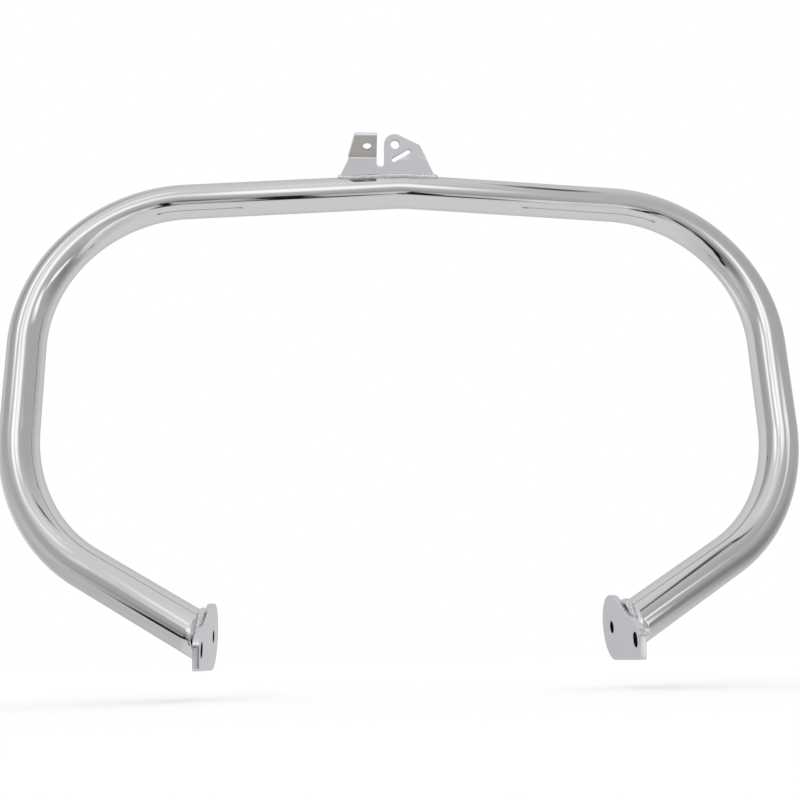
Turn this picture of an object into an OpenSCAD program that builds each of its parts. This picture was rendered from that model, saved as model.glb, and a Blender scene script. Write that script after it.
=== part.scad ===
// Motorcycle crash bars: one bent tube with a top bracket and two end plates welded on.
// Millimetres. X runs across the bike, Z is up in the plane of the loop, -Y is forward.
// The origin is the centre of the round bolt hole in the top bracket's flat ear.

/* [Tube] */
// Outside diameter of the tube
tube_d = 31.75; // [28:0.25:36]
// Wall thickness of the tube
tube_wall = 2.4; // [1.6:0.1:3.2]
// Centreline radius of every bend, set by one bending die
bend_r = 135; // [115:1:150]
// Angle by which each half of the top run falls away from the crown
crown_angle = 3.7; // [2:0.1:7]
// Straight length between the crown and a top corner
top_run = 191; // [150:1:220]
// Bend angle of each top corner
corner_angle = 89.2; // [82:0.2:94]
// Straight length between a top corner and a lower bend
side_run = 74.4; // [40:0.2:110]
// Bend angle of each lower bend
lower_angle = 58.4; // [52:0.2:64]
// Angle by which the plane of the lower bends is turned forward
lower_turn = 12.8; // [6:0.2:20]

/* [End plates] */
// Gap between the inner faces of the two end plates
plates_apart = 307.8; // [270:0.2:330]
// Thickness of an end plate
plate_t = 5; // [3:0.5:8]
// Radius of the round rear end of an end plate
plate_rear_r = 24; // [21:0.5:27]
// Downward slope of the upper front edge of an end plate
plate_slope = 24.4; // [15:0.2:28]
// Lean of the short front edge of an end plate
plate_front_lean = 17; // [0:1:22]
// Metal left between the slot and the front edge
plate_front_land = 4.6; // [3:0.1:10]
// Radius of the upper front corner of an end plate
plate_nose_r = 6.5; // [3:0.5:9]
// Radius of the lower front corner of an end plate
plate_toe_r = 2.5; // [1:0.5:5]
// Diameter of the round rear hole of an end plate
end_hole_d = 9; // [6:0.1:12]
// Distance from the rear hole to the centre of the slot
end_hole_spacing = 55; // [50:0.5:62]
// Fall of the line from the rear hole to the slot
end_hole_fall = 10.8; // [4:0.2:16]
// Width of the upright slot
end_slot_w = 9; // [6:0.1:11]
// Height of the upright slot
end_slot_h = 10.6; // [9.5:0.1:13]
// Distance from the rear hole forward to the centre of the tube
tube_ahead = 26.3; // [24:0.1:29]
// Distance from the rear hole down to the centre of the tube
tube_below = 0.8; // [-2:0.1:4]

/* [Top bracket] */
// Thickness of the bracket plate
bracket_t = 5; // [3:0.5:6]
// Forward lean of the bracket from the plane of the loop
bracket_lean = 22; // [10:1:35]
// Distance of the bracket's middle plane in front of the tube's centreline
bracket_forward = 5; // [0:0.5:7]
// Left end of the foot, measured left of the middle of the loop
foot_left = 57.6; // [54:0.2:70]
// Right end of the foot, measured right of the middle of the loop
foot_right = 30.4; // [27:0.2:40]
// Width of the open slot between the tab and the flat ear
gap_w = 7; // [4.5:0.1:8]
// Centre of the open slot, measured left of the middle of the loop
gap_left = 20.4; // [18.5:0.1:21.5]
// Height of the bottom of the open slot above the tube's centreline
gap_floor = 22.3; // [20:0.1:26]
// Bolt hole in the flat ear, measured left of the middle of the loop
ear_hole_left = 6.7; // [5:0.1:7]
// Bolt hole in the flat ear, height above the tube's centreline
ear_hole_up = 43; // [42:0.1:50]
// Diameter of both bolt holes of the bracket
bracket_hole_d = 8.4; // [6:0.1:9]
// Radius of the flat ear round its bolt hole
ear_r = 9.6; // [8:0.1:10.5]
// Downward slope of the top edge of the flat ear
ear_slope = 25; // [15:0.5:30]
// Width of the flat ear from its bolt hole to its right shoulder
ear_w = 23.3; // [20:0.1:28]
// Radius of the right shoulder of the flat ear
shoulder_r = 3; // [1:0.5:5]
// Middle of the angled slot, measured left of the middle of the loop
angled_slot_left = 1; // [-2:0.1:3]
// Middle of the angled slot, height above the tube's centreline
angled_slot_up = 32.6; // [31:0.1:33.5]
// Overall length of the angled slot
angled_slot_l = 20; // [12:0.5:21]
// Width of the angled slot
angled_slot_w = 4; // [3:0.1:5]
// Rise of the angled slot towards the right
angled_slot_rise = 30; // [20:1:38]
// Height of the bend line of the tab above the tube's centreline
tab_bend_up = 29.7; // [28:0.1:34]
// Forward bend of the tab
tab_angle = 42; // [20:1:70]
// Inside radius of the tab's bend
tab_bend_r = 3; // [1:0.5:5]
// Left edge of the tab at its bend, measured left of the middle of the loop
tab_root_left = 50.4; // [46:0.2:54]
// Left edge of the tab at its free end, measured left of the middle of the loop
tab_tip_left = 44.6; // [43:0.2:50]
// Length of the tab from its bend line
tab_l = 24.4; // [20:0.2:32]
// Bolt hole in the tab, measured left of the middle of the loop
tab_hole_left = 33; // [31:0.1:36]
// Bolt hole in the tab, distance from the bend line
tab_hole_up = 11.5; // [11:0.1:14]

/* [Welds] */
// Radius of each ripple of the bracket's bead; under half the bracket's thickness, so the two rows stay apart
bracket_bead_r = 2.25; // [1.6:0.05:2.4]
// Distance between the ripples of the bracket's bead
bracket_bead_pitch = 2.95; // [2.4:0.05:3.2]
// Radius of the lump of weld that closes the bead at each end of the foot
end_lump_r = 2.9; // [2.7:0.1:4]
// Radius of the rounded ripples of the weld beads
bead_r = 3; // [2:0.1:3.4]
// Distance between ripples along a bead
bead_pitch = 3.6; // [3:0.1:4.5]
// How much the ripples vary in size, as a share of their radius
bead_variation = 0.1; // [0:0.01:0.15]

/* [Hidden] */
$fn = 96;
big = 400;
arc_step = 6;
joint_lap = 0.05;
joint_step = 0.01;
bore_d = tube_d - 2 * tube_wall;
tube_r = tube_d / 2;

// Points and directions along the right half of the centreline, from the crown down
side_heading = crown_angle + corner_angle;
function heading(a) = [cos(a), 0, -sin(a)];
function inward(a) = [-sin(a), 0, -cos(a)];
function flat_bend(a, b) = bend_r * [sin(b) - sin(a), 0, cos(b) - cos(a)];
crown_end = flat_bend(0, crown_angle);
corner_start = crown_end + top_run * heading(crown_angle);
corner_end = corner_start + flat_bend(crown_angle, side_heading);
lower_start = corner_end + side_run * heading(side_heading);
lower_side = cos(lower_turn) * inward(side_heading) - [0, sin(lower_turn), 0];
lower_end = lower_start
    + bend_r * (sin(lower_angle) * heading(side_heading) + (1 - cos(lower_angle)) * lower_side);
leg_heading = cos(lower_angle) * heading(side_heading) + sin(lower_angle) * lower_side;
plate_outer_x = plates_apart / 2 + plate_t;
leg_run = (lower_end[0] - plate_outer_x) / -leg_heading[0];
leg_foot = lower_end + leg_run * leg_heading;

// The origin is moved from the crown of the centreline to the bolt hole in the flat ear
ear_hole = [
    -ear_hole_left,
    -bracket_forward * cos(bracket_lean) - ear_hole_up * sin(bracket_lean),
    -bracket_forward * sin(bracket_lean) + ear_hole_up * cos(bracket_lean)
];

module in_row_frame() {
    translate(-ear_hole) children();
}

// Points along a round stretch of an outline
function arc(centre, r, from, to) =
    let (steps = ceil(abs(to - from) / arc_step))
    [for (i = [0 : steps]) centre + r * direction(from + (to - from) * i / steps)];
function direction(a) = [cos(a), sin(a)];
function unit(v) = v / norm(v);

// Centre of the arc that rounds a corner of an outline
function arc_centre(before, corner, after, r) =
    let (
        a = unit(before - corner),
        b = unit(after - corner),
        half = acos(a * b) / 2
    ) corner + r / sin(half) * unit(a + b);

// Outline of a slot with round ends
function slot(centre, length, width, angle) =
    let (reach = (length - width) / 2 * direction(angle))
    concat(
        arc(centre + reach, width / 2, angle - 90, angle + 90),
        arc(centre - reach, width / 2, angle + 90, angle + 270)
    );

// Each tube segment starts at its own origin, runs along +X and hands on to what follows it.
// The straight runs lap a little way into the bends, which are a hair thinner, so that
// each joint closes. A bore of 0 makes a segment solid.
module section(d, bore) {
    difference() {
        circle(d = d);
        if (bore > 0) circle(d = bore);
    }
}

module straight(d, bore, run) {
    translate([-joint_lap, 0, 0])
        rotate([0, 90, 0]) linear_extrude(run + 2 * joint_lap) section(d, bore);
    translate([run, 0, 0]) children();
}

module bend(d, bore, angle) {
    translate([0, 0, -bend_r])
        rotate([-90, -90, 0])
            rotate_extrude(angle = angle)
                translate([bend_r, 0]) section(d - 2 * joint_step, bore + 2 * joint_step);
    round_bend(angle) children();
}

module rod_bend(d, angle) {
    translate([0, 0, -bend_r])
        rotate([-90, -90, 0])
            rotate_extrude(angle = angle) translate([bend_r, 0]) circle(d = d - 2 * joint_step);
}

module round_bend(angle) {
    translate([0, 0, -bend_r])
        rotate([0, angle, 0])
            translate([0, 0, bend_r]) children();
}

// One side of the tube, from the crown to the leg, cut square to the bike at the end plate
module side_of_tube() {
    difference() {
        round_bend(crown_angle)
            straight(tube_d, bore_d, top_run)
                bend(tube_d, bore_d, corner_angle)
                    straight(tube_d, bore_d, side_run)
                        rotate([-lower_turn, 0, 0])
                            bend(tube_d, bore_d, lower_angle)
                                straight(tube_d, bore_d, leg_run + tube_d);
        translate([plate_outer_x - big, -big / 2, corner_end[2] - big * 1.5])
            cube([big, big, big * 1.5]);
    }
}

module bent_tube() {
    color("silver") in_row_frame() {
        round_bend(-crown_angle) bend(tube_d, bore_d, 2 * crown_angle);
        side_of_tube();
        mirror([1, 0, 0]) side_of_tube();
    }
}

// Solid stretches of the tube that the parts welded to it are fitted round
module top_rod() {
    round_bend(-crown_angle) rod_bend(tube_d, 2 * crown_angle);
    for (side = [0, 1]) mirror([side, 0, 0]) round_bend(crown_angle) straight(tube_d, 0, top_run / 2);
}

module leg_rod() {
    translate(leg_foot)
        rotate([0, acos(-leg_heading[2]), atan2(-leg_heading[1], -leg_heading[0])])
            translate([0, 0, -tube_d]) cylinder(h = leg_run + tube_d, d = tube_d);
}

// End plate, drawn with +X forward and +Y up from its rear hole
slot_centre = end_hole_spacing * direction(-end_hole_fall);
front_normal = direction(-plate_front_lean);
front_reach = slot_centre * front_normal + end_slot_w / 2 + plate_front_land;
slope_normal = direction(90 - plate_slope);
slope_start = plate_rear_r * slope_normal;
nose = let (s = slope_normal, f = front_normal, det = s[0] * f[1] - s[1] * f[0])
    [plate_rear_r * f[1] - front_reach * s[1], front_reach * s[0] - plate_rear_r * f[0]] / det;
toe = [(front_reach - plate_rear_r * sin(plate_front_lean)) / cos(plate_front_lean), -plate_rear_r];
heel = [0, -plate_rear_r];

module end_plate_shape() {
    nose_centre = arc_centre(slope_start, nose, toe, plate_nose_r);
    toe_centre = arc_centre(nose, toe, heel, plate_toe_r);
    difference() {
        polygon(concat(
            arc([0, 0], plate_rear_r, 90 - plate_slope, 270),
            arc(toe_centre, plate_toe_r, -90, -plate_front_lean),
            arc(nose_centre, plate_nose_r, -plate_front_lean, 90 - plate_slope)
        ));
        circle(d = end_hole_d);
        polygon(slot(slot_centre, end_slot_h, end_slot_w, 90));
    }
}

// Puts a right-hand end plate's drawing on its inner face
rear_hole = [plates_apart / 2, leg_foot[1] + tube_ahead, leg_foot[2] + tube_below];
module on_right_plate() {
    translate(rear_hole) rotate([90, 0, -90]) mirror([0, 0, 1]) children();
}

module right_end_plate_solid() {
    on_right_plate() linear_extrude(plate_t) end_plate_shape();
}

module right_end_plate() {
    color("gainsboro") in_row_frame() right_end_plate_solid();
}

module left_end_plate() {
    color("gainsboro") in_row_frame() mirror([1, 0, 0]) right_end_plate_solid();
}

// Top bracket, drawn with +X to the right and +Y up its own plane, over the tube's centreline
module on_bracket() {
    rotate([90 + bracket_lean, 0, 0]) children();
}

bracket_back = bracket_forward - bracket_t / 2;
bracket_front = bracket_forward + bracket_t / 2;
foot_up = sqrt(pow(tube_r, 2) - pow(bracket_front, 2));
foot_corner = [foot_right, foot_up];
gap_centre = [-gap_left, gap_floor + gap_w / 2];
gap_left_edge = -gap_left - gap_w / 2;
gap_right_edge = -gap_left + gap_w / 2;
tab_start_up = tab_bend_up - tab_bend_r * tan(tab_angle / 2);
ear_centre = [gap_right_edge + ear_r, ear_hole_up];
ear_top = ear_centre + ear_r * direction(90 - ear_slope);
shoulder_out = ear_w - ear_hole_left - ear_top[0];
shoulder = ear_top + shoulder_out * [1, -tan(ear_slope)];
right_edge = shoulder - foot_corner;
right_edge_normal = atan2(right_edge[1], right_edge[0]) - 90;

module bracket_outline() {
    polygon(concat(
        [[-foot_left, 0], [foot_right, 0], foot_corner],
        arc(arc_centre(foot_corner, shoulder, ear_top, shoulder_r), shoulder_r,
            right_edge_normal, 90 - ear_slope),
        arc(ear_centre, ear_r, 90 - ear_slope, 180),
        arc(gap_centre, gap_w / 2, 0, -180),
        [[gap_left_edge, tab_start_up], [-tab_root_left, tab_start_up], [-foot_left, foot_up]]
    ));
}

module flat_ear() {
    translate([0, 0, bracket_back]) linear_extrude(bracket_t) difference() {
        bracket_outline();
        translate([-ear_hole_left, ear_hole_up]) circle(d = bracket_hole_d);
        polygon(slot([-angled_slot_left, angled_slot_up], angled_slot_l, angled_slot_w,
            angled_slot_rise));
    }
}

// Side view of the bent tab, drawn with +X up the bracket and +Y forward
tab_bend_centre = [tab_start_up, bracket_front + tab_bend_r];
tab_out = tab_l - tab_bend_r * tan(tab_angle / 2);
function tab_corner(r) =
    tab_bend_centre + r * direction(tab_angle - 90) + tab_out * direction(tab_angle);

// Puts a drawing of the tab on its front face, with +Y running out from the end of the bend
module on_tab() {
    translate([0, tab_start_up, bracket_front + tab_bend_r])
        rotate([tab_angle, 0, 0])
            translate([0, 0, -tab_bend_r]) children();
}

module tab() {
    hole_up = tab_hole_up - tab_bend_r * tan(tab_angle / 2);
    root = [-tab_root_left, 0];
    taper = [tab_root_left - tab_tip_left, tab_out] * 1.2;
    difference() {
        translate([-tab_root_left, 0, 0])
            rotate([90, 0, 90])
                linear_extrude(tab_root_left + gap_left_edge) polygon(concat(
                    arc(tab_bend_centre, tab_bend_r + bracket_t, -90, tab_angle - 90),
                    [tab_corner(tab_bend_r + bracket_t), tab_corner(tab_bend_r)],
                    arc(tab_bend_centre, tab_bend_r, tab_angle - 90, -90)
                ));
        on_tab() translate([0, 0, -bracket_t * 1.5]) linear_extrude(bracket_t * 2) {
            translate([-tab_hole_left, hole_up]) circle(d = bracket_hole_d);
            polygon([root, root + taper, root + [-tab_out, taper[1]], root - [tab_out, 0]]);
        }
    }
}

module top_bracket_solid() {
    difference() {
        on_bracket() {
            flat_ear();
            tab();
        }
        top_rod();
    }
}

module top_bracket() {
    color("lightgray") in_row_frame() top_bracket_solid();
}

// Weld beads: chains of rounded ripples that follow each joint
function ripple(i) = 1 + bead_variation * sin(i * 137) * cos(i * 71);

// Height of the tube's centreline at a distance x from the middle of the loop
function crown_z(x) = abs(x) < crown_end[0]
    ? sqrt(pow(bend_r, 2) - x * x) - bend_r
    : crown_end[2] - (abs(x) - crown_end[0]) * tan(crown_angle);

// Where a face of the bracket, at its distance from the loop's centreline, meets the tube
function foot_point(x, face) =
    let (fall = crown_z(x))
    [x, sqrt(pow(tube_r, 2) - pow(face + fall * sin(bracket_lean), 2)) + fall * cos(bracket_lean), face];

// The bead runs along both faces and closes in a lump round each end of the foot
module bracket_bead() {
    foot_l = foot_left + foot_right;
    count = ceil(foot_l / bracket_bead_pitch);
    on_bracket() {
        for (i = [0 : count]) {
            x = -foot_left + i * foot_l / count;
            for (face = [bracket_back, bracket_front])
                translate(foot_point(x, face)) sphere(r = bracket_bead_r * ripple(i + face), $fn = 32);
        }
        for (x = [-foot_left, foot_right])
            translate(foot_point(x, bracket_forward)) sphere(r = end_lump_r, $fn = 32);
    }
}

module top_bracket_weld() {
    color("darkgray") in_row_frame() difference() {
        bracket_bead();
        top_rod();
        top_bracket_solid();
    }
}

// The joint of a leg with its end plate is an ellipse round the tube, found by projecting
// the tube's own circle along the leg onto the plate's outer face
leg_side = unit(cross(leg_heading, [1, 0, 0]));
leg_up = cross(leg_side, leg_heading);
function end_joint(a) =
    let (p = tube_r * (cos(a) * leg_side + sin(a) * leg_up))
    leg_foot + p - p[0] / leg_heading[0] * leg_heading;

module right_end_weld_solid() {
    count = ceil(PI * tube_d / bead_pitch);
    difference() {
        for (i = [1 : count])
            translate(end_joint(i * 360 / count)) sphere(r = bead_r * ripple(i), $fn = 32);
        leg_rod();
        right_end_plate_solid();
    }
}

module right_end_weld() {
    color("darkgray") in_row_frame() right_end_weld_solid();
}

module left_end_weld() {
    color("darkgray") in_row_frame() mirror([1, 0, 0]) right_end_weld_solid();
}

bent_tube();
top_bracket();
left_end_plate();
right_end_plate();
top_bracket_weld();
left_end_weld();
right_end_weld();
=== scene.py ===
import bpy
import bmesh
from math import acos, atan2, cos, degrees, floor, hypot, pi, radians, sin, sqrt, tan
from mathutils import Matrix, Vector


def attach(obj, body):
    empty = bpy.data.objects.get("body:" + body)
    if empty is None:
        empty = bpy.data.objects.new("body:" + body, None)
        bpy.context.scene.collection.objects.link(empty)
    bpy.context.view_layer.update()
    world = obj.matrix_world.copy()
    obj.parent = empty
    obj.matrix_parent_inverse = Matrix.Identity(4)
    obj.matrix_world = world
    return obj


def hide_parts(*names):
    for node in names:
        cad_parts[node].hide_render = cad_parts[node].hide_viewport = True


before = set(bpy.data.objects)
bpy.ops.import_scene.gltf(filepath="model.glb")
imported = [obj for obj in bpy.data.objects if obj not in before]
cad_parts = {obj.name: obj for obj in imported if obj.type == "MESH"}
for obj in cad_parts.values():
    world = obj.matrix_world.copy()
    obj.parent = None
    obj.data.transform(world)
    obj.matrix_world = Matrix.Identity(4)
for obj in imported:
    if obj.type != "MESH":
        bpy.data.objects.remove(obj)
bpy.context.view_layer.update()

# Sizes in millimetres and degrees, with the same names as in the part's source
MM = 0.001
TUBE_D, BEND_R = 31.75, 135
CROWN_ANGLE, TOP_RUN = 3.7, 191
CORNER_ANGLE, SIDE_RUN = 89.2, 74.4
LOWER_ANGLE, LOWER_TURN = 58.4, 12.8
PLATES_APART, PLATE_T = 307.8, 5
PLATE_REAR_R, PLATE_NOSE_R, PLATE_TOE_R = 24, 6.5, 2.5
PLATE_SLOPE, PLATE_FRONT_LEAN, PLATE_FRONT_LAND = 24.4, 17, 4.6
END_HOLE_D, END_HOLE_SPACING, END_HOLE_FALL = 9, 55, 10.8
END_SLOT_W, END_SLOT_H = 9, 10.6
TUBE_AHEAD, TUBE_BELOW = 26.3, 0.8
BRACKET_T, BRACKET_LEAN, BRACKET_FORWARD = 5, 22, 5
FOOT_LEFT, FOOT_RIGHT = 57.6, 30.4
GAP_W, GAP_LEFT, GAP_FLOOR = 7, 20.4, 22.3
BRACKET_HOLE_D, EAR_HOLE_LEFT, EAR_HOLE_UP = 8.4, 6.7, 43
EAR_R, EAR_SLOPE, EAR_W, SHOULDER_R = 9.6, 25, 23.3, 3
ANGLED_SLOT_LEFT, ANGLED_SLOT_UP = 1, 32.6
ANGLED_SLOT_L, ANGLED_SLOT_W, ANGLED_SLOT_RISE = 20, 4, 30
TAB_BEND_UP, TAB_ANGLE, TAB_BEND_R, TAB_L = 29.7, 42, 3, 24.4
TAB_ROOT_LEFT, TAB_TIP_LEFT = 50.4, 44.6
TAB_HOLE_LEFT, TAB_HOLE_UP = 33, 11.5

# Sizes of the finish, in millimetres
TUBE_HAIR = 0.025  # the tube's radius is this much smaller, to stay inside the faceted solids
OUTLINE_HAIR = 0.002  # and the sheets' outlines lie this much further in
PLATE_EDGE, BRACKET_EDGE = 0.35, 0.3  # radius of the sheets' rounded edges
FOOT_SUNK = 5  # the bracket's foot reaches this far down into the tube
BRACKET_BEAD_R, BRACKET_BEAD_PITCH, BRACKET_BEAD_WANDER = 2.35, 2.95, 0.18
END_BEAD_R, END_BEAD_PITCH = 2.7, 3.4
END_BEAD_PROUD = 0.3  # the middle of an end bead lies this far out from the plate's outer face

TUBE_R = TUBE_D / 2
CROWN, LEAN = radians(CROWN_ANGLE), radians(BRACKET_LEAN)
PLATE_OUTER_X = PLATES_APART / 2 + PLATE_T
BRACKET_FRONT = BRACKET_FORWARD + BRACKET_T / 2


def on_bracket(x, y, z):
    """From the bracket's leaning plane, with z towards its front, to the tube's crown, in mm."""
    return Vector((x, -y * sin(LEAN) - z * cos(LEAN), y * cos(LEAN) - z * sin(LEAN)))


EAR_HOLE = on_bracket(-EAR_HOLE_LEFT, EAR_HOLE_UP, BRACKET_FORWARD)


def row(p):
    """From the crown of the tube's centreline, in mm, to the part's own frame, in m."""
    return (Vector(p) - EAR_HOLE) * MM


# Meshes
def skin(bm, a, b):
    """Smooth faces between two rings of vertices."""
    for i in range(len(a)):
        j = (i + 1) % len(a)
        bm.faces.new((a[i], a[j], b[j], b[i])).smooth = True


def finished(bm, name):
    """The object made from a mesh under construction."""
    bmesh.ops.recalc_face_normals(bm, faces=bm.faces)
    mesh = bpy.data.meshes.new(name)
    bm.to_mesh(mesh)
    bm.free()
    piece = bpy.data.objects.new(name, mesh)
    bpy.context.collection.objects.link(piece)
    return piece


# Tube
def centreline():
    """Rings along the right half, from the crown to the plate: (point, direction)."""
    out = []
    p, t, n = Vector((0, 0, 0)), Vector((1, 0, 0)), Vector((0, 0, -1))

    def ring():
        out.append((p.copy(), t.copy()))

    def bend(angle, rings):
        nonlocal p, t, n
        p0, t0, n0 = p.copy(), t.copy(), n.copy()
        for i in range(1, rings + 1):
            a = radians(angle) * i / rings
            t = cos(a) * t0 + sin(a) * n0
            n = cos(a) * n0 - sin(a) * t0
            p = p0 + BEND_R * (sin(a) * t0 + (1 - cos(a)) * n0)
            ring()

    def run(length, rings):
        nonlocal p
        p0 = p.copy()
        for i in range(1, rings + 1):
            p = p0 + t * length * i / rings
            ring()

    ring()
    bend(CROWN_ANGLE, rings=6)
    run(TOP_RUN, rings=24)
    bend(CORNER_ANGLE, rings=72)
    run(SIDE_RUN, rings=10)
    turn = radians(LOWER_TURN)
    n = cos(turn) * n - Vector((0, sin(turn), 0))
    bend(LOWER_ANGLE, rings=48)
    run((p.x - PLATE_OUTER_X) / -t.x, rings=14)
    return out


RIGHT_HALF = centreline()
LEG_FOOT, LEG_HEADING = RIGHT_HALF[-1]


def tube_mesh(name, sides=128):
    """The tube's outside, swept from the left foot to the right one and closed by flat ends."""
    bm = bmesh.new()
    left = [(Vector((-p.x, p.y, p.z)), Vector((t.x, -t.y, -t.z))) for p, t in RIGHT_HALF[1:]]
    rings = left[::-1] + RIGHT_HALF
    side = Vector((0, 1, 0))
    made = []
    for k, (p, t) in enumerate(rings):
        side = (side - side.dot(t) * t).normalized()
        up = t.cross(side)
        end = -1 if k == 0 else 1 if k == len(rings) - 1 else 0
        vs = []
        for i in range(sides):
            a = 2 * pi * i / sides
            q = p + (TUBE_R - TUBE_HAIR) * (cos(a) * side + sin(a) * up)
            if end:
                q = q + t * ((end * PLATE_OUTER_X - q.x) / t.x)
            vs.append(bm.verts.new(row(q)))
        made.append(vs)
    for a, b in zip(made, made[1:]):
        skin(bm, a, b)
    bm.faces.new(made[0][::-1])
    bm.faces.new(made[-1])
    return finished(bm, name)


# Outlines, as lists of points round a sheet or a hole
def polar(centre, r, angle):
    """The point at a distance r from a centre, in a direction in degrees."""
    return (centre[0] + r * cos(radians(angle)), centre[1] + r * sin(radians(angle)))


def arc(centre, r, start, end, steps):
    return [polar(centre, r, start + (end - start) * i / steps) for i in range(steps + 1)]


def circle(centre, r, steps=72):
    return arc(centre, r, 0, 360, steps)[:-1]


def slot(centre, length, width, angle, steps=24):
    far, near = (polar(centre, d * (length - width) / 2, angle) for d in (1, -1))
    return (arc(far, width / 2, angle - 90, angle + 90, steps)
            + arc(near, width / 2, angle + 90, angle + 270, steps))


def arc_centre(before, corner, after, r):
    """Centre of the arc that rounds a corner of an outline."""
    b, c, a = Vector(before), Vector(corner), Vector(after)
    u, v = (b - c).normalized(), (a - c).normalized()
    half = acos(u.dot(v)) / 2
    return c + r / sin(half) * (u + v).normalized()


def crossing(normal_a, far_a, normal_b, far_b):
    """Where two straight edges cross, each given by its normal and its distance from (0, 0)."""
    det = normal_a[0] * normal_b[1] - normal_a[1] * normal_b[0]
    return ((far_a * normal_b[1] - far_b * normal_a[1]) / det,
            (far_b * normal_a[0] - far_a * normal_b[0]) / det)


# Sheet metal
# A flat face's normal points up or down by more than LEVEL, a wall's by less than UPRIGHT
LEVEL, UPRIGHT = 0.999, 0.6
SHARP = 50  # edges that turn by more than this many degrees stay sharp
# Material slots that paint shade: darker walls in the holes, and a darker front on the tab
PAINT_HOLE_SHADE, PAINT_TAB_SHADE = 1, 2
WALL_REACH = 0.5  # a hole's wall is looked for this far past the hole's own edge


def sheet(name, loops, thickness, edge, place, holes, cuts=(), bend=(0, 0)):
    """A plate with rounded edges: a filled 2D curve, extruded and bevelled, then put in place.

    The walls of its holes, each given by its centre and its reach from there, take the second
    material, a darker one that paints shade into them, and the front of the tab above the bend
    the third, a darker copy of the chrome that paints shade on it.
    """
    curve = bpy.data.curves.new(name, "CURVE")
    curve.dimensions = "2D"
    curve.fill_mode = "BOTH"
    for loop in loops:
        spline = curve.splines.new("POLY")
        spline.points.add(len(loop) - 1)
        for q, (x, y) in zip(spline.points, loop):
            q.co = (x, y, 0, 1)
        spline.use_cyclic_u = True
    curve.extrude = thickness / 2 - edge
    curve.bevel_depth = edge
    curve.bevel_resolution = 3
    curve.offset = -edge - OUTLINE_HAIR
    drawing = bpy.data.objects.new(name, curve)
    bpy.context.collection.objects.link(drawing)
    drawn = drawing.evaluated_get(bpy.context.evaluated_depsgraph_get())
    mesh = bpy.data.meshes.new_from_object(drawn)
    bpy.data.objects.remove(drawing)
    bm = bmesh.new()
    bm.from_mesh(mesh)
    bmesh.ops.remove_doubles(bm, verts=bm.verts, dist=1e-4)
    for co, no in cuts:
        every = bm.verts[:] + bm.edges[:] + bm.faces[:]
        bmesh.ops.bisect_plane(bm, geom=every, plane_co=co, plane_no=no)
    bm.normal_update()
    bm.faces.index_update()
    flat = []
    for f in bm.faces:
        f.smooth = True
        c, tilt = f.calc_center_median(), f.normal.z
        if abs(tilt) > LEVEL and not bend[0] < c.y < bend[1]:
            flat.append(f.index)
            # the tab's front above the bend takes a darker material, painted shade
            if bend[1] and tilt > 0 and c.y > bend[1] and c.x < -GAP_LEFT:
                f.material_index = PAINT_TAB_SHADE
        # hole walls take a darker material, painted shade
        if abs(tilt) < UPRIGHT and any(hypot(c.x - x, c.y - y) < far for x, y, far in holes):
            f.material_index = PAINT_HOLE_SHADE
    for v in bm.verts:
        v.co = place(v.co)
    piece = finished(bm, name)
    piece.data.set_sharp_from_angle(angle=radians(SHARP))
    for i in flat:
        piece.data.polygons[i].use_smooth = False
    return piece


# End plate, drawn with x forward and y up from its rear hole
SLOT_CENTRE = polar((0, 0), END_HOLE_SPACING, -END_HOLE_FALL)
FRONT_NORMAL = polar((0, 0), 1, -PLATE_FRONT_LEAN)
SLOPE_NORMAL = polar((0, 0), 1, 90 - PLATE_SLOPE)
SLOT_FORWARD = SLOT_CENTRE[0] * FRONT_NORMAL[0] + SLOT_CENTRE[1] * FRONT_NORMAL[1]
FRONT_REACH = SLOT_FORWARD + END_SLOT_W / 2 + PLATE_FRONT_LAND
SLOPE_START = polar((0, 0), PLATE_REAR_R, 90 - PLATE_SLOPE)
NOSE = crossing(SLOPE_NORMAL, PLATE_REAR_R, FRONT_NORMAL, FRONT_REACH)
TOE = crossing(FRONT_NORMAL, FRONT_REACH, (0, -1), PLATE_REAR_R)
REAR_HOLE = Vector((PLATES_APART / 2, LEG_FOOT.y + TUBE_AHEAD, LEG_FOOT.z + TUBE_BELOW))


def end_plate(name, side):
    toe = arc_centre(NOSE, TOE, (0, -PLATE_REAR_R), PLATE_TOE_R)
    nose = arc_centre(SLOPE_START, NOSE, TOE, PLATE_NOSE_R)
    outline = (arc((0, 0), PLATE_REAR_R, 90 - PLATE_SLOPE, 270, 96)
               + arc(toe, PLATE_TOE_R, -90, -PLATE_FRONT_LEAN, 12)
               + arc(nose, PLATE_NOSE_R, -PLATE_FRONT_LEAN, 90 - PLATE_SLOPE, 20))
    loops = [outline, circle((0, 0), END_HOLE_D / 2), slot(SLOT_CENTRE, END_SLOT_H, END_SLOT_W, 90)]
    holes = ((0, 0, END_HOLE_D / 2 + WALL_REACH), (*SLOT_CENTRE, END_SLOT_H / 2 + WALL_REACH))

    def place(v):
        across = REAR_HOLE.x + PLATE_T / 2 + v.z
        return row((side * across, REAR_HOLE.y - v.x, REAR_HOLE.z + v.y))

    return sheet(name, loops, PLATE_T, PLATE_EDGE, place, holes)


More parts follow.
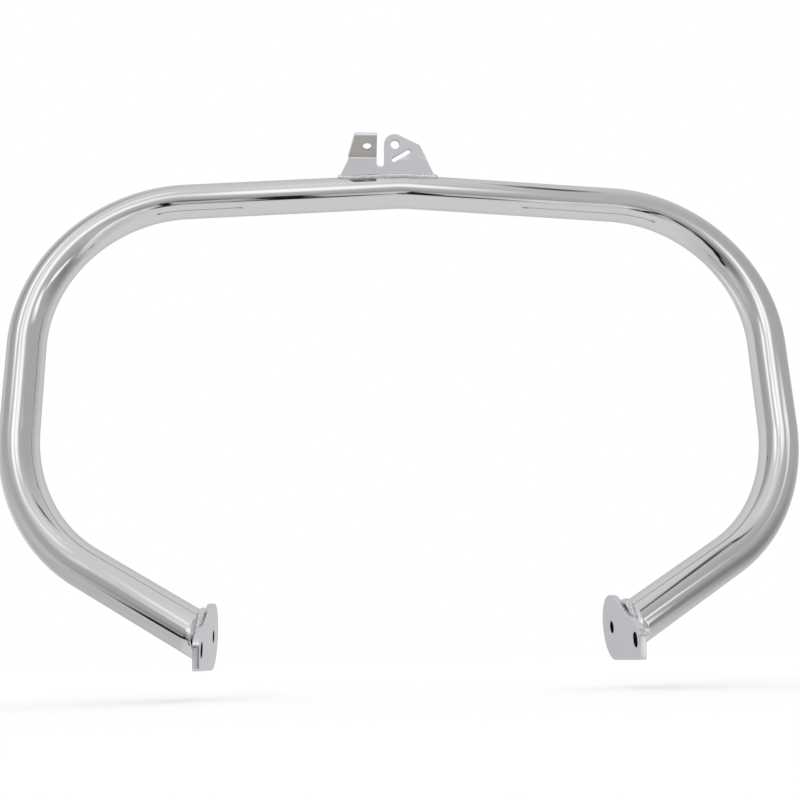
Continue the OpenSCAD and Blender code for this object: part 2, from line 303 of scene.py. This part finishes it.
# Top bracket, drawn flat with x to the right and y up, then bent
FOOT_UP = sqrt(TUBE_R ** 2 - BRACKET_FRONT ** 2)
GAP_R = GAP_W / 2
GAP_CENTRE = (-GAP_LEFT, GAP_FLOOR + GAP_R)
TAB_TURN = radians(TAB_ANGLE)
SET_BACK = TAB_BEND_R * tan(TAB_TURN / 2)  # from where the bend starts to the bend line
MIDDLE_R = TAB_BEND_R + BRACKET_T / 2
BEND_START, BEND_L, BEND_CUTS = TAB_BEND_UP - SET_BACK, MIDDLE_R * TAB_TURN, 16
BEND_END = BEND_START + BEND_L
TAB_HOLE = (-TAB_HOLE_LEFT, BEND_END + TAB_HOLE_UP - SET_BACK)
EAR_NORMAL = 90 - EAR_SLOPE
EAR_CENTRE = (-GAP_LEFT + GAP_R + EAR_R, EAR_HOLE_UP)
EAR_TOP = polar(EAR_CENTRE, EAR_R, EAR_NORMAL)
SHOULDER_X = EAR_W - EAR_HOLE_LEFT
SHOULDER = (SHOULDER_X, EAR_TOP[1] - (SHOULDER_X - EAR_TOP[0]) * tan(radians(EAR_SLOPE)))
EDGE_NORMAL = degrees(atan2(SHOULDER[1] - FOOT_UP, SHOULDER_X - FOOT_RIGHT)) - 90
ANGLED_SLOT = (-ANGLED_SLOT_LEFT, ANGLED_SLOT_UP)


def top_bracket(name):
    low, tip = FOOT_UP - FOOT_SUNK, BEND_END + TAB_L - SET_BACK
    shoulder = arc_centre((FOOT_RIGHT, FOOT_UP), SHOULDER, EAR_TOP, SHOULDER_R)
    outline = ([(-FOOT_LEFT, low), (FOOT_RIGHT, low), (FOOT_RIGHT, FOOT_UP)]
               + arc(shoulder, SHOULDER_R, EDGE_NORMAL, EAR_NORMAL, 16)
               + arc(EAR_CENTRE, EAR_R, EAR_NORMAL, 180, 40)
               + arc(GAP_CENTRE, GAP_R, 0, -180, 32)
               + [(-GAP_LEFT - GAP_R, tip), (-TAB_TIP_LEFT, tip), (-TAB_ROOT_LEFT, BEND_END),
                  (-TAB_ROOT_LEFT, BEND_START), (-FOOT_LEFT, FOOT_UP)])
    round_holes = ((-EAR_HOLE_LEFT, EAR_HOLE_UP), TAB_HOLE)
    loops = [outline, *(circle(c, BRACKET_HOLE_D / 2) for c in round_holes),
             slot(ANGLED_SLOT, ANGLED_SLOT_L, ANGLED_SLOT_W, ANGLED_SLOT_RISE)]
    holes = (*((*c, BRACKET_HOLE_D / 2 + WALL_REACH) for c in round_holes),
             (*ANGLED_SLOT, ANGLED_SLOT_L / 2 + WALL_REACH))

    def place(v):
        x, y, z = v.x, v.y, v.z + BRACKET_FORWARD
        if x < -GAP_LEFT and y > BEND_START:
            a = min((y - BEND_START) / MIDDLE_R, TAB_TURN)
            r = BRACKET_FRONT + TAB_BEND_R - z
            rest = max(0.0, y - BEND_START - BEND_L)
            y = BEND_START + r * sin(a) + rest * cos(a)
            z = BRACKET_FRONT + TAB_BEND_R - r * cos(a) + rest * sin(a)
        return row(on_bracket(x, y, z))

    heights = [BEND_START + BEND_L * i / BEND_CUTS for i in range(BEND_CUTS + 1)]
    cuts = [((0, y, 0), (0, 1, 0)) for y in heights]
    return sheet(name, loops, BRACKET_T, BRACKET_EDGE, place, holes, cuts, (BEND_START, BEND_END))


# Welds
LEAST, SWELL = 0.84, 0.18  # a ripple grows by up to SWELL, by its own share and towards its crest
WANDER_UP, WANDER_OUT = 1.9, 0.83  # radians of wander for each ripple
SHARE_STEP, SHARE_SIZE = 12.9898, 43758.5453


def ripple_share(k, seed):
    """A ripple's own share, from 0 to 1, which is uneven but the same on every run."""
    share = sin(k * SHARE_STEP + seed) * SHARE_SIZE
    return share - floor(share)


def bead(name, path, radius, pitch, seed, wander=0.0, sides=20):
    """A closed chain of uneven ripples along a path of points, which may wander to its sides."""
    pts = [Vector(p) for p in path]
    n = len(pts)
    along, total = [0.0], 0.0
    for i in range(n):
        total += (pts[(i + 1) % n] - pts[i]).length
        along.append(total)
    count = max(8, round(total / pitch))
    bm = bmesh.new()
    rings = []
    for i in range(n):
        t = (pts[(i + 1) % n] - pts[i - 1]).normalized()
        ref = Vector((0, 0, 1)) if abs(t.z) < 0.9 else Vector((0, 1, 0))
        u = (ref - ref.dot(t) * t).normalized()
        v = t.cross(u)
        s = along[i] / total * count
        k, f = int(s), s - int(s)
        crest = sqrt(max(0.0, 1 - (2 * f - 1) ** 2))
        r = radius * (LEAST + SWELL * ripple_share(k, seed)) * (LEAST + SWELL * crest)
        off = wander * (sin(s * WANDER_UP + seed) * u + sin(s * WANDER_OUT + 2 * seed) * v)
        vs = []
        for j in range(sides):
            a = 2 * pi * j / sides
            vs.append(bm.verts.new(row(pts[i] + off + r * (cos(a) * u + sin(a) * v))))
        rings.append(vs)
    for i in range(n):
        skin(bm, rings[i], rings[(i + 1) % n])
    return finished(bm, name)


LEG_SIDE = LEG_HEADING.cross(Vector((1, 0, 0))).normalized()
LEG_UP = LEG_SIDE.cross(LEG_HEADING)


def end_path(side, n=480):
    """Round the joint of a leg with its end plate."""
    out = []
    for i in range(n):
        a = 2 * pi * i / n
        p = TUBE_R * (cos(a) * LEG_SIDE + sin(a) * LEG_UP)
        q = LEG_FOOT + p - LEG_HEADING * (p.x / LEG_HEADING.x)
        out.append((side * (q.x + END_BEAD_PROUD), q.y, q.z))
    return out


def crown_z(x):
    """Height of the tube's centreline at a distance x from the middle of the loop."""
    e = BEND_R * sin(CROWN)
    if abs(x) < e:
        return sqrt(BEND_R ** 2 - x * x) - BEND_R
    return BEND_R * (cos(CROWN) - 1) - (abs(x) - e) * tan(CROWN)


def bracket_path(n=900, round_end=0.8):
    """Along the front of the foot, round its right end, back along the rear, round the left end."""
    half = BRACKET_T / 2
    length, turn = FOOT_LEFT + FOOT_RIGHT, pi * half
    total = 2 * length + 2 * turn
    out = []
    for i in range(n):
        s = total * i / n
        if s < length:
            x, face = s - FOOT_LEFT, BRACKET_FORWARD + half
        elif s < length + turn:
            t = (s - length) / half
            x, face = FOOT_RIGHT + round_end * sin(t), BRACKET_FORWARD + half * cos(t)
        elif s < 2 * length + turn:
            x, face = FOOT_RIGHT - (s - length - turn), BRACKET_FORWARD - half
        else:
            t = (s - 2 * length - turn) / half
            x, face = -FOOT_LEFT - round_end * sin(t), BRACKET_FORWARD - half * cos(t)
        fall = crown_z(x)
        y = sqrt(TUBE_R ** 2 - (face + fall * sin(LEAN)) ** 2) + fall * cos(LEAN)
        out.append(on_bracket(x, y, face))
    return out


# Materials
SPECULAR, EDGE_TINT = 0.5, 0.72
CLOUD_SCALE, CLOUD_DETAIL = 60, 6  # the noise by which the roughness goes from place to place
CLOUD_LOW, CLOUD_HIGH = 0.35, 0.65  # most of that noise lies between these
BUMP_DEPTH, BUMP_DETAIL = 0.0002, 3


def chrome(name, colour, rough, spread, bump, bump_scale, metal=1):
    """Plated metal whose roughness varies from place to place, with a fine uneven surface."""
    m = bpy.data.materials.new(name)
    m.use_nodes = True
    nodes, links = m.node_tree.nodes, m.node_tree.links
    paint = nodes["Principled BSDF"]
    paint.inputs["Base Color"].default_value = (*colour, 1)
    paint.inputs["Metallic"].default_value = metal
    paint.inputs["Specular IOR Level"].default_value = SPECULAR * metal
    paint.inputs["Specular Tint"].default_value = (EDGE_TINT, EDGE_TINT, EDGE_TINT, 1)
    place = nodes.new("ShaderNodeTexCoord").outputs["Object"]

    def noise(scale, detail):
        n = nodes.new("ShaderNodeTexNoise")
        n.inputs["Scale"].default_value = scale
        n.inputs["Detail"].default_value = detail
        links.new(place, n.inputs["Vector"])
        return n.outputs["Fac"]

    rough_range = nodes.new("ShaderNodeMapRange")
    rough_range.inputs["From Min"].default_value = CLOUD_LOW
    rough_range.inputs["From Max"].default_value = CLOUD_HIGH
    rough_range.inputs["To Min"].default_value = rough
    rough_range.inputs["To Max"].default_value = rough + spread
    links.new(noise(CLOUD_SCALE, CLOUD_DETAIL), rough_range.inputs["Value"])
    links.new(rough_range.outputs["Result"], paint.inputs["Roughness"])
    uneven = nodes.new("ShaderNodeBump")
    uneven.inputs["Strength"].default_value = bump
    uneven.inputs["Distance"].default_value = BUMP_DEPTH
    links.new(noise(bump_scale, BUMP_DETAIL), uneven.inputs["Height"])
    links.new(uneven.outputs["Normal"], paint.inputs["Normal"])
    return m


tube_chrome = chrome("tube_chrome", (0.58, 0.575, 0.585), 0.02, 0.03, bump=0.02, bump_scale=220)
plate_chrome = chrome("plate_chrome", (0.59, 0.595, 0.625), 0.12, 0.06, bump=0.05, bump_scale=500)
bracket_chrome = chrome("bracket_chrome", (0.78, 0.78, 0.82), 0.31, 0.08, bump=0.12, bump_scale=700)
# Painted shade: a darker copy of the bracket's chrome, for the tab's front above the bend
tab_shade_chrome = chrome("tab_shade_chrome", (0.39, 0.37, 0.35), 0.2, 0.1, bump=0.15, bump_scale=900)
weld_chrome = chrome("weld_chrome", (0.72, 0.72, 0.735), 0.14, 0.16, bump=0.5, bump_scale=900)
end_weld_chrome = chrome("end_weld_chrome", (0.62, 0.62, 0.635), 0.14, 0.1, bump=0.12, bump_scale=600)
# Painted shade: the plates' hole walls near black and not metal, the bracket's a darker chrome
plate_hole_shade = chrome("plate_hole_shade", (0.012, 0.012, 0.012), 0.5, 0.2, bump=0.2, bump_scale=900, metal=0)
bracket_hole_shade = chrome("bracket_hole_shade", (0.33, 0.33, 0.34), 0.3, 0.15, bump=0.2, bump_scale=900)

# Pieces, each with the node that it stands for, its slot and its materials
SIDES = (("left", -1), ("right", 1))
tube = tube_mesh("tube")
bracket = top_bracket("bracket")
plates = [end_plate(n + "_plate", s) for n, s in SIDES]
bracket_bead = bead("bracket_bead", bracket_path(), BRACKET_BEAD_R, BRACKET_BEAD_PITCH, 1.0,
                    BRACKET_BEAD_WANDER)
end_beads = [bead(n + "_bead", end_path(s), END_BEAD_R, END_BEAD_PITCH, s + 3.0) for n, s in SIDES]

for piece, replaced, slot_name, paints in (
    (tube, "bent_tube", "chromed_steel", (tube_chrome,)),
    (bracket, "top_bracket", "chromed_steel", (bracket_chrome, bracket_hole_shade, tab_shade_chrome)),
    (plates[0], "left_end_plate", "chromed_steel", (plate_chrome, plate_hole_shade)),
    (plates[1], "right_end_plate", "chromed_steel", (plate_chrome, plate_hole_shade)),
    (bracket_bead, "top_bracket_weld", "chromed_weld", (weld_chrome,)),
    (end_beads[0], "left_end_weld", "chromed_weld", (end_weld_chrome,)),
    (end_beads[1], "right_end_weld", "chromed_weld", (end_weld_chrome,)),
):
    for paint in paints:
        piece.data.materials.append(paint)
    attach(piece, "root")
    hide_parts(replaced)

# Floor
FLOOR_Z, FLOOR_SIZE = -0.474, 40
FLOOR_GREY = 0.85
FLOOR_LIFT = 0.24  # added to what the camera sees, so that the floor runs into the background

floor_paint = bpy.data.materials.new("floor_paint")
floor_paint.use_nodes = True
floor_nodes, floor_links = floor_paint.node_tree.nodes, floor_paint.node_tree.links
floor_nodes.clear()
floor_out, floor_mix = floor_nodes.new("ShaderNodeOutputMaterial"), floor_nodes.new("ShaderNodeAddShader")
floor_path = floor_nodes.new("ShaderNodeLightPath")
floor_matt, floor_glow = floor_nodes.new("ShaderNodeBsdfDiffuse"), floor_nodes.new("ShaderNodeEmission")
floor_matt.inputs["Color"].default_value = (FLOOR_GREY, FLOOR_GREY, FLOOR_GREY, 1)
floor_glow.inputs["Color"].default_value = (FLOOR_LIFT, FLOOR_LIFT, FLOOR_LIFT, 1)
floor_links.new(floor_path.outputs["Is Camera Ray"], floor_glow.inputs["Strength"])
floor_links.new(floor_matt.outputs[0], floor_mix.inputs[0])
floor_links.new(floor_glow.outputs[0], floor_mix.inputs[1])
floor_links.new(floor_mix.outputs[0], floor_out.inputs["Surface"])

bpy.ops.mesh.primitive_plane_add(size=1, location=(0, 0, FLOOR_Z))
ground = bpy.context.object
ground.name = "floor"
ground.scale = (FLOOR_SIZE, FLOOR_SIZE, 1)
ground.data.materials.append(floor_paint)
ground.visible_glossy = False

# Studio: what the chrome reflects, in degrees, azimuth from the front to the viewer's left, and
# elevation. Each patch has its centre, its half width and height, its tilt, the share of it that
# is even, and what it adds to the plain light.
PLAIN, DARKEST = 1.0, 0.015
WAVER, WAVER_SCALE, WAVER_DETAIL = 9, 6, 4  # the patches' edges waver by up to half of WAVER
PATCHES = (
    ("wide lamp", 20, 13, 15, 14, 0, 0.1, 0.6),
    ("lamp", 0, 15, 13, 18, 0, 0.3, 0.75),
    ("window", 41, 27, 13, 20, 20, 0.2, 0.7),
    ("second lamp", 18, 13, 7, 11, 0, 0.3, 0.45),
    ("tall lamp", 19, 34, 6, 18, 0, 0.2, 0.4),
    ("narrow window", 43, 19, 7, 9, 0, 0.2, 0.35),
    ("panel overhead", 2, 45, 16, 20, 0, 0.3, 0.16),
    ("side lamp", -32, 11, 16, 7, 0, 0.25, 1.0),
    ("strip lamp", -46, -8, 19, 6, 55, 0.3, 1.05),
    ("rear strip lamp", 129, -5, 26, 18, -45, 0.2, 0.4),
    ("rear lamp", 172, 9, 7, 4, 0, 0.2, 0.5),
    ("front of the room", 38, -5, 46, 34, 40, 0.3, -0.38),
    ("table goods", 0, -26, 27, 30, 0, 0.2, -0.4),
    ("table goods on the left", 31, -16, 28, 18, 0, 0.2, -0.33),
    ("camera", 31, -24, 14, 6, 0, 0.4, -0.75),
    ("cable", 53, -24, 15, 3, 0, 0.5, -0.75),
    ("grey wall on the right", -59, 7, 87, 80, 0, 0.3, -0.35),
    ("foot of the right wall", -76, -20, 63, 30, 0, 0.1, -0.3),
    ("grey wall on the left", 79, 38, 32, 56, 0, 0.3, -0.42),
    ("foot of the left wall", 102, -22, 90, 43, 17, 0.0, -0.27),
    ("beam overhead", -28, 57, 20, 6, -60, 0.2, -0.75),
    ("dark post", 0.5, -33, 3, 12, 0, 0.4, -0.95),
    ("dark edge in the middle", 11, -26, 9, 3.5, 0, 0.3, -0.35),
    ("lower dark edge", -3, -44, 12, 4, 0, 0.3, -0.3),
    ("pale gap", -10, -37, 6, 6, 0, 0.3, 0.4),
    ("white table", -35, -28, 90, 16, 6, 0.0, 0.7),
    ("edge of the table", 0, -23, 91, 8, 0, 0.2, -0.5),
    ("dark line under the table's edge", 0, -42, 16, 5, 0, 0.3, -0.5),
)

world = bpy.data.worlds.new("studio")
bpy.context.scene.world = world
world.use_nodes = True
world_nodes, world_links = world.node_tree.nodes, world.node_tree.links
world_nodes.clear()


def node(kind, *inputs, **settings):
    """A node of the world with its inputs in order, each a value or what feeds it."""
    n = world_nodes.new("ShaderNode" + kind)
    for k, v in settings.items():
        setattr(n, k, v)
    for sock, value in zip(n.inputs, inputs):
        if isinstance(value, bpy.types.NodeSocket):
            world_links.new(value, sock)
        else:
            sock.default_value = value
    return n


def calc(op, *inputs):
    return node("Math", *inputs, operation=op).outputs[0]


def vector(op, *inputs):
    return node("VectorMath", *inputs, operation=op).outputs["Vector"]


where = node("TexCoord").outputs["Generated"]
x, y, z = node("SeparateXYZ", where).outputs
azimuth = calc("DEGREES", calc("ARCTAN2", calc("MULTIPLY", x, -1.0), calc("MULTIPLY", y, -1.0)))
elevation = calc("DEGREES", calc("ARCSINE", z))
clouds = node("TexNoise", where)
clouds.inputs["Scale"].default_value = WAVER_SCALE
clouds.inputs["Detail"].default_value = WAVER_DETAIL
to_each_side = vector("SUBTRACT", clouds.outputs["Color"], (0.5, 0.5, 0.5))
shift = vector("MULTIPLY", to_each_side, (WAVER, WAVER, 0))
place_in_room = vector("ADD", node("CombineXYZ", azimuth, elevation, 0.0).outputs[0], shift)

light = PLAIN
for label, az, el, wide, high, tilt, even, gain in PATCHES:
    local = node("Mapping", place_in_room, vector_type="TEXTURE", label=label)
    local.inputs["Location"].default_value = (az, el, 0)
    local.inputs["Rotation"].default_value = (0, 0, radians(tilt))
    local.inputs["Scale"].default_value = (wide, high, 1)
    far = node("VectorMath", local.outputs[0], operation="LENGTH").outputs["Value"]
    mask = node("MapRange", far, even, 1.0, gain, 0.0, interpolation_type="SMOOTHSTEP")
    light = calc("ADD", light, mask.outputs[0])
light = calc("MAXIMUM", light, DARKEST)

room, white = node("Background", light), node("Background", (1, 1, 1, 1))
seen = node("LightPath").outputs["Is Camera Ray"]
both = node("MixShader", seen, room.outputs[0], white.outputs[0])
node("OutputWorld", both.outputs[0])

# Camera, fitted to the photograph: its place in metres, its directions, and in the pixels of the
# picture its focal length and the point on its axis
PICTURE, SENSOR = 800, 36
FOCAL, AXIS_X, AXIS_Y = 854.154, 397.167, 337.414
EYE = Vector((-0.047165, -0.682160, -0.449576))
RIGHT = Vector((0.998124, -0.056402, -0.023806))
DOWN = Vector((-0.002372, 0.352937, -0.935644))
AHEAD = Vector((0.061175, 0.933945, 0.352141))

cam_data = bpy.data.cameras.new("camera")
cam = bpy.data.objects.new("camera", cam_data)
bpy.context.collection.objects.link(cam)
bpy.context.scene.camera = cam
cam.matrix_world = Matrix((
    (RIGHT.x, -DOWN.x, -AHEAD.x, EYE.x),
    (RIGHT.y, -DOWN.y, -AHEAD.y, EYE.y),
    (RIGHT.z, -DOWN.z, -AHEAD.z, EYE.z),
    (0, 0, 0, 1)))
cam_data.sensor_width = SENSOR
cam_data.lens = FOCAL / PICTURE * SENSOR
cam_data.shift_x = (PICTURE / 2 - AXIS_X) / PICTURE
cam_data.shift_y = (AXIS_Y - PICTURE / 2) / PICTURE
cam_data.clip_start = 0.01

bpy.context.scene.view_settings.view_transform = "Standard"
